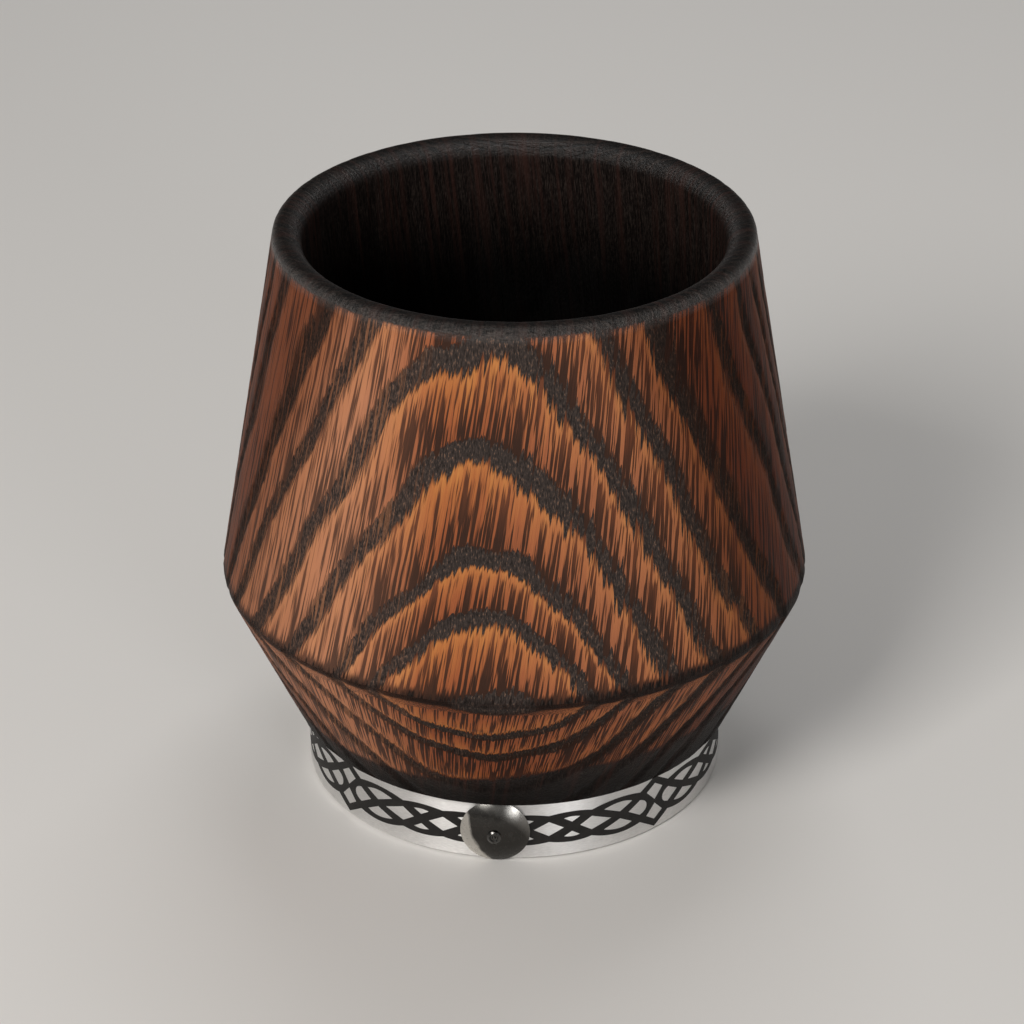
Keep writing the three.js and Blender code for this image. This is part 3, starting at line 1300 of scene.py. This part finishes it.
@dataclass
class TurnedCup:
    """The cup: a turned double cone with a well, a lip and a stepped-in foot."""

    height: float = 90.4 * MM
    rim_radius: float = 35.35 * MM
    lip_width: float = 4.2 * MM
    lip_outer_round: float = 1.2 * MM
    lip_inner_round: float = 3.0 * MM
    belly_radius: float = 45.0 * MM
    belly_height: float = 34.7 * MM
    belly_round: float = 2.5 * MM
    skirt_radius: float = 34.0 * MM
    skirt_height: float = 10.6 * MM
    skirt_round: float = 0.6 * MM
    foot_radius: float = 31.5 * MM
    foot_round: float = 0.5 * MM
    hollow_radius: float = 25.0 * MM
    hollow_depth: float = 1.0 * MM
    floor_height: float = 15.0 * MM
    floor_radius: float = 28.55 * MM
    floor_round: float = 9.0 * MM
    round_steps: int = 6
    outside_pitch: float = 0.5 * MM
    inside_pitch: float = 0.95 * MM
    flat_pitch: float = 2.6 * MM
    turns: int = 312
    crease_degrees: float = 50.0
    foot_margin: float = 0.05 * MM
    lip_margin: float = 0.3 * MM
    wall_margin: float = 0.8 * MM
    floor_margin: float = 0.1 * MM
    rings: GrowthRings = GrowthRings()
    burn_and_shade: BurnAndShade = BurnAndShade()
    brush: WireBrush = WireBrush()
    finish: CharredWood = CharredWood()

    def corners(self) -> list[tuple[float, float, float]]:
        """Lists the profile's corners from the base's middle to the well's.

        Returns:
            Each corner's radius, height and round.
        """
        return [
            (0.0, self.hollow_depth, 0.0),
            (self.hollow_radius - self.hollow_depth, self.hollow_depth, 0.0),
            (self.hollow_radius, 0.0, 0.0),
            (self.foot_radius, 0.0, self.foot_round),
            (self.foot_radius, self.skirt_height, 0.0),
            (self.skirt_radius, self.skirt_height, self.skirt_round),
            (self.belly_radius, self.belly_height, self.belly_round),
            (self.rim_radius, self.height, self.lip_outer_round),
            (self.rim_radius - self.lip_width, self.height, self.lip_inner_round),
            (self.floor_radius, self.floor_height, self.floor_round),
            (0.0, self.floor_height, 0.0),
        ]

    def outside_radius(self, height: float) -> float:
        """Gives the outer cones' radius at a height.

        Args:
            height: The height.

        Returns:
            The radius before any brushing.
        """
        if height > self.belly_height:
            part = (height - self.belly_height) / (self.height - self.belly_height)
            return self.belly_radius + part * (self.rim_radius - self.belly_radius)
        part = (height - self.skirt_height) / (self.belly_height - self.skirt_height)
        return self.skirt_radius + part * (self.belly_radius - self.skirt_radius)

    def zone(self, point: Vector) -> Zone:
        """Says which stretch of the surface a point is on.

        Args:
            point: A place on the turned cup.

        Returns:
            The stretch.
        """
        radius = math.hypot(point.x, point.y)
        if point.z < self.skirt_height + self.foot_margin:
            return Zone.FOOT
        if point.z > self.height - self.lip_margin:
            return Zone.LIP
        if radius > self.outside_radius(point.z) - self.wall_margin:
            return Zone.OUTSIDE
        return Zone.WELL

    def pitch(self, point: Vector) -> float:
        """Gives the wanted edge length along the profile at a point.

        Args:
            point: A place on the profile.

        Returns:
            The length.
        """
        zone = self.zone(point)
        if zone is Zone.OUTSIDE:
            return self.outside_pitch
        if zone is Zone.WELL:
            on_floor = point.z < self.floor_height + self.floor_margin
            return self.flat_pitch if on_floor else self.inside_pitch
        return self.outside_pitch if zone is Zone.LIP else self.flat_pitch

    def turn_profile(self) -> bpy.types.Object:
        """Draws the profile corner by corner, rounds it and turns it round the axis.

        Returns:
            The bare cup.
        """
        corners = self.corners()
        places = [Vector((radius, 0, height)) for radius, height, _ in corners]
        Bench.clear()
        bpy.ops.mesh.primitive_plane_add(size=MM, location=places[0])
        bpy.ops.object.transform_apply(location=True)
        cup = Bench.name("turned_cup")
        bpy.ops.object.mode_set(mode="EDIT")
        bpy.ops.mesh.select_all(action="SELECT")
        bpy.ops.mesh.merge(type="CENTER")
        for start, end in zip(places, places[1:]):
            bpy.ops.mesh.extrude_vertices_move(TRANSFORM_OT_translate={"value": end - start})
        for index in range(1, len(corners) - 1):
            self.round_corner(places[index - 1 : index + 2], corners[index][2])
        for middle, cuts in Bench.long_edges(self.pitch):
            Bench.pick(lambda place, middle=middle: (place - middle).length < TOUCH, Pick.EDGE)
            bpy.ops.mesh.subdivide(number_cuts=cuts)
        bpy.ops.mesh.select_mode(type="VERT")
        bpy.ops.mesh.select_all(action="SELECT")
        bpy.ops.mesh.spin(steps=self.turns, angle=2 * math.pi, center=(0, 0, 0), axis=(0, 0, 1))
        Bench.close_up()
        return cup

    def round_corner(self, places: Sequence[Vector], radius: float) -> None:
        """Rounds one corner of the drawn profile.

        Args:
            places: The corner between its two neighbours.
            radius: The round's radius; 0 keeps the corner sharp.
        """
        if not radius:
            return
        before, corner, after = places
        half = (before - corner).angle(after - corner) / 2
        Bench.pick(lambda place: (place - corner).length < TOUCH)
        steps = max(self.round_steps, round(radius / MM))
        bpy.ops.mesh.bevel(offset=radius / math.tan(half), segments=steps, affect="VERTICES", profile=0.5)

    def brush_out(self, cup: bpy.types.Object) -> None:
        """Stores each point's ring and its blackening by fire and painted shade, and sinks the porous wood as
        a wire brush does.

        Args:
            cup: The turned cup.
        """
        mesh = cup.data
        rings = []
        char_and_shade_values = []
        group = cup.vertex_groups.new(name="brushed_out")
        for vertex in mesh.vertices:
            point = vertex.co
            zone = self.zone(point)
            side = math.degrees(math.atan2(point.x, -point.y) - self.rings.turn)
            rings.append(self.rings.number(point))
            char_and_shade_values.append(self.burn_and_shade.char(point.z / MM, side, zone))
            group.add([vertex.index], self.brush.depth(point, rings[-1], zone), "REPLACE")
        for name, values in (("ring", rings), ("char", char_and_shade_values)):
            layer = mesh.attributes.new(name=name, type="FLOAT", domain="POINT")
            layer.data.foreach_set("value", values)
        sink = cup.modifiers.new("brushed_out", "DISPLACE")
        sink.mid_level = 0.0
        sink.strength = -self.brush.full_depth
        sink.vertex_group = group.name
        Bench.apply(cup, sink)
        cup.vertex_groups.clear()

    def build(self) -> bpy.types.Object:
        """Builds and dresses the cup.

        Returns:
            The cup.
        """
        cup = self.turn_profile()
        self.brush_out(cup)
        Bench.smooth(cup, self.crease_degrees)
        Bench.hand_over(cup, self.finish.material(), "charred_wood", "cup_body")
        return cup


@dataclass
class KnotBand:
    """The metal strip round the foot and the black knotwork on its face."""

    radius: float = 32.45 * MM
    thickness: float = 0.8 * MM
    bottom: float = 0.2 * MM
    top: float = 10.2 * MM
    edge_round: float = 0.16 * MM
    edge_steps: int = 4
    butt_gap: float = 1.3 * MM
    net_face: float = 32.67 * MM
    net_half: float = 0.06 * MM
    net_proud: float = 0.02 * MM
    net_wall: float = 0.1 * MM
    net_cuts: int = 3
    strip_crease: float = 40.0
    net_crease: float = 30.0
    turns: int = 360
    metal: BrushedBand = BrushedBand()
    black: BlackEnamel = BlackEnamel()

    def strip(self) -> bpy.types.Object:
        """Bends the strip round the foot from its cross-section, with its joint at the front.

        Returns:
            The strip.
        """
        gap = self.butt_gap / self.radius
        Bench.clear()
        middle = Vector((self.radius - self.thickness / 2, 0, (self.bottom + self.top) / 2))
        bpy.ops.mesh.primitive_plane_add(size=1.0, rotation=(math.pi / 2, 0, 0))
        strip = Bench.name("brushed_strip")
        strip.scale = (self.thickness, self.top - self.bottom, 1.0)
        strip.location = middle
        bpy.ops.object.transform_apply(location=True, rotation=True, scale=True)
        bpy.ops.object.mode_set(mode="EDIT")
        Bench.pick(lambda place: place.x > self.radius - self.thickness / 2)
        bpy.ops.mesh.bevel(offset=self.edge_round, segments=self.edge_steps, affect="VERTICES", profile=0.5)
        bpy.ops.mesh.select_all(action="SELECT")
        bpy.ops.mesh.spin(steps=self.turns, angle=2 * math.pi - gap, center=(0, 0, 0), axis=(0, 0, 1))
        Bench.close_up()
        strip.rotation_euler = (0, 0, -math.pi / 2 + gap / 2)
        Bench.take(strip)
        bpy.ops.object.transform_apply(rotation=True)
        Bench.smooth(strip, self.strip_crease)
        Bench.hand_over(strip, self.metal.material(), "brushed_band", "foot_band")
        return strip

    def net(self) -> bpy.types.Object:
        """Copies the outer skin of the knotwork's solid and lays it nearly flush on the strip's face.

        Returns:
            The net.
        """
        Bench.take(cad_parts["knotwork"])
        bpy.ops.object.duplicate()
        net = Bench.name("knot_net")
        bpy.ops.object.mode_set(mode="EDIT")
        bpy.ops.mesh.select_all(action="SELECT")
        bpy.ops.mesh.remove_doubles(threshold=WELD)
        Bench.pick(lambda place: place.xy.length < self.net_face - self.net_half)
        bpy.ops.mesh.delete(type="VERT")
        bpy.ops.mesh.select_all(action="SELECT")
        bpy.ops.mesh.subdivide(number_cuts=self.net_cuts)
        bpy.ops.object.mode_set(mode="OBJECT")
        lay = net.modifiers.new("lay", "CAST")
        lay.cast_type = "CYLINDER"
        lay.use_z = False
        lay.factor = 1.0
        lay.use_radius_as_size = False
        lay.size = self.radius + self.net_proud
        Bench.apply(net, lay)
        wall = net.modifiers.new("wall", "SOLIDIFY")
        wall.thickness = self.net_wall
        wall.offset = -1.0
        Bench.apply(net, wall)
        Bench.smooth(net, self.net_crease)
        Bench.hand_over(net, self.black.material(), "black_enamel", "knotwork")
        return net

    def build(self) -> list[bpy.types.Object]:
        """Builds and dresses both pieces."""
        return [self.strip(), self.net()]


@dataclass
class DomedStud:
    """The domed stud over the strip's joint and the nail through it.

    Each step of the nail's head is a lift, as a share of its rise, and a scale of its top face.
    """

    radius: float = 5.2 * MM
    rise: float = 1.6 * MM
    wall: float = 0.5 * MM
    dome_turns: int = 96
    dome_rings: int = 192
    face: float = 32.77 * MM
    height: float = 5.3 * MM
    nail_radius: float = 0.75 * MM
    nail_head: float = 1.05 * MM
    nail_rise: float = 0.45 * MM
    nail_length: float = 14.9 * MM
    nail_point: float = 2.2 * MM
    nail_tip: float = 0.06 * MM
    nail_turns: int = 48
    nail_head_steps: tuple[Pair, ...] = (
        (0.6, 1.0), (0.4, 0.8), (0.0, 0.8), (-0.5, 0.75), (0.0, 0.6), (0.4, 0.5)
    )
    dome_crease: float = 40.0
    nail_crease: float = 30.0
    dome_finish: PolishedStud = PolishedStud()
    # The nail's steel is darkened the same way, as painted shade.
    nail_finish: PolishedStud = PolishedStud(
        "nail_steel", (0.10, 0.097, 0.092), (0.22, 0.21, 0.20), gloss=0.2
    )

    def place(self) -> Vector:
        """Gives the middle of the dome's open rim."""
        return Vector((0, -self.face, self.height))

    def dome(self) -> bpy.types.Object:
        """Makes a thin cap from the upper part of a ball.

        Returns:
            The dome.
        """
        Bench.clear()
        ball = (self.radius**2 + self.rise**2) / (2 * self.rise)
        bpy.ops.mesh.primitive_uv_sphere_add(
            segments=self.dome_turns,
            ring_count=self.dome_rings,
            radius=ball,
            location=(0, 0, self.rise - ball),
        )
        bpy.ops.object.transform_apply(location=True)
        dome = Bench.name("domed_cap")
        bpy.ops.object.mode_set(mode="EDIT")
        bpy.ops.mesh.select_all(action="SELECT")
        bpy.ops.mesh.bisect(plane_co=(0, 0, 0), plane_no=(0, 0, 1), clear_inner=True)
        Bench.close_up()
        wall = dome.modifiers.new("wall", "SOLIDIFY")
        wall.thickness = self.wall
        wall.offset = -1.0
        Bench.apply(dome, wall)
        Bench.stand(dome, self.place())
        Bench.smooth(dome, self.dome_crease)
        Bench.hand_over(dome, self.dome_finish.material(), "polished_stud", "stud_dome")
        return dome

    def nail(self) -> bpy.types.Object:
        """Makes the nail: a pointed rod with a low head that has a sunk ring and a small dot in its middle.

        Returns:
            The nail.
        """
        Bench.clear()
        bottom = self.rise - self.nail_length
        bpy.ops.mesh.primitive_circle_add(
            vertices=self.nail_turns, radius=self.nail_tip, fill_type="NGON", location=(0, 0, bottom)
        )
        nail = Bench.name("stud_nail_end")
        bpy.ops.object.transform_apply(location=True)
        bpy.ops.object.mode_set(mode="EDIT")
        bpy.ops.mesh.select_all(action="SELECT")
        self.raise_face(self.nail_point, self.nail_radius / self.nail_tip)
        self.raise_face(self.nail_length - self.nail_point)
        self.raise_face(0.0, self.nail_head / self.nail_radius)
        for lift, scale in self.nail_head_steps:
            self.raise_face(self.nail_rise * lift, scale)
        Bench.close_up()
        Bench.stand(nail, self.place())
        Bench.smooth(nail, self.nail_crease)
        Bench.hand_over(nail, self.nail_finish.material(), "nail_steel", "stud_nail")
        return nail

    @staticmethod
    def raise_face(lift: float, scale: float = 1.0) -> None:
        """Extrudes the selected face along +Z and scales it about the axis."""
        bpy.ops.mesh.extrude_region_move(TRANSFORM_OT_translate={"value": (0, 0, lift)})
        bpy.ops.transform.resize(value=(scale, scale, 1), center_override=(0, 0, 0))

    def build(self) -> list[bpy.types.Object]:
        """Builds and dresses both pieces."""
        return [self.dome(), self.nail()]


@dataclass(frozen=True)
class SoftLamp:
    """A large soft lamp that looks at the cup."""

    name: str
    place: Triple
    size: Pair
    power: float
    tint: Colour = (1.0, 1.0, 1.0)

    def build(self, aim: Vector) -> bpy.types.Object:
        """Hangs the lamp.

        Args:
            aim: The point that it looks at.

        Returns:
            The lamp.
        """
        data = bpy.data.lights.new(self.name, "AREA")
        data.shape = "RECTANGLE"
        data.size, data.size_y = self.size
        data.energy = self.power
        data.color = self.tint
        lamp = bpy.data.objects.new(self.name, data)
        bpy.context.scene.collection.objects.link(lamp)
        lamp.location = self.place
        lamp.rotation_euler = (aim - lamp.location).to_track_quat("-Z", "Y").to_euler()
        return lamp


@dataclass
class Studio:
    """The pale floor, the soft light and the camera at the photograph's angle."""

    floor_size: float = 6.0
    aim_height: float = 42.0 * MM
    aim_side: float = -0.37 * MM
    azimuth: float = math.radians(5.1)
    elevation: float = math.radians(28.98)
    distance: float = 501.6 * MM
    lens: float = 114.8
    sensor: float = 36.0
    nearest: float = 0.01
    ambient: float = 0.18
    sky_tint: Colour = (1.0, 0.985, 0.965)
    floor: PaleFloor = PaleFloor()
    lamps: tuple[SoftLamp, ...] = (
        SoftLamp("key_lamp", (-0.40, -0.74, 0.66), (0.36, 0.36), 7.0, (1.0, 0.97, 0.93)),
        SoftLamp("top_lamp", (0.05, 0.45, 0.75), (0.5, 0.3), 1.6),
        SoftLamp("glint_lamp", (0.47, -0.78, 0.22), (0.26, 0.26), 1.6),
    )

    def build(self) -> None:
        """Lays the floor, hangs the lamps and sets the camera."""
        Bench.clear()
        bpy.ops.mesh.primitive_plane_add(size=self.floor_size)
        floor = Bench.name("pale_floor")
        floor.data.materials.append(self.floor.material())
        aim = Vector((0, 0, self.aim_height))
        for lamp in self.lamps:
            lamp.build(aim)
        self.sky()
        self.camera(aim)

    def sky(self) -> None:
        """Sets the even light from all round."""
        world = bpy.data.worlds.new("soft_room")
        bpy.context.scene.world = world
        world.use_nodes = True
        sky = world.node_tree.nodes["Background"]
        sky.inputs["Color"].default_value = (*self.sky_tint, 1.0)
        sky.inputs["Strength"].default_value = self.ambient

    def camera(self, aim: Vector) -> None:
        """Places the camera.

        Args:
            aim: The point on the cup's axis that it looks at.
        """
        flat = math.cos(self.elevation)
        back = Vector((
            math.sin(self.azimuth) * flat,
            -math.cos(self.azimuth) * flat,
            math.sin(self.elevation),
        ))
        side = Vector((math.cos(self.azimuth), math.sin(self.azimuth), 0)) * self.aim_side
        data = bpy.data.cameras.new("photo_camera")
        data.lens = self.lens
        data.sensor_width = self.sensor
        data.clip_start = self.nearest
        camera = bpy.data.objects.new("photo_camera", data)
        bpy.context.scene.collection.objects.link(camera)
        camera.location = aim + side + back * self.distance
        camera.rotation_euler = (-back).to_track_quat("-Z", "Y").to_euler()
        bpy.context.scene.camera = camera
        bpy.context.scene.view_settings.view_transform = "Standard"


def main() -> None:
    """Builds the pieces in order."""
    logging.basicConfig(level=logging.INFO, format="%(name)s: %(message)s")
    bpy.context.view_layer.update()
    TurnedCup().build()
    KnotBand().build()
    DomedStud().build()
    Studio().build()
    bpy.context.view_layer.update()


if __name__ == "__main__":
    main()
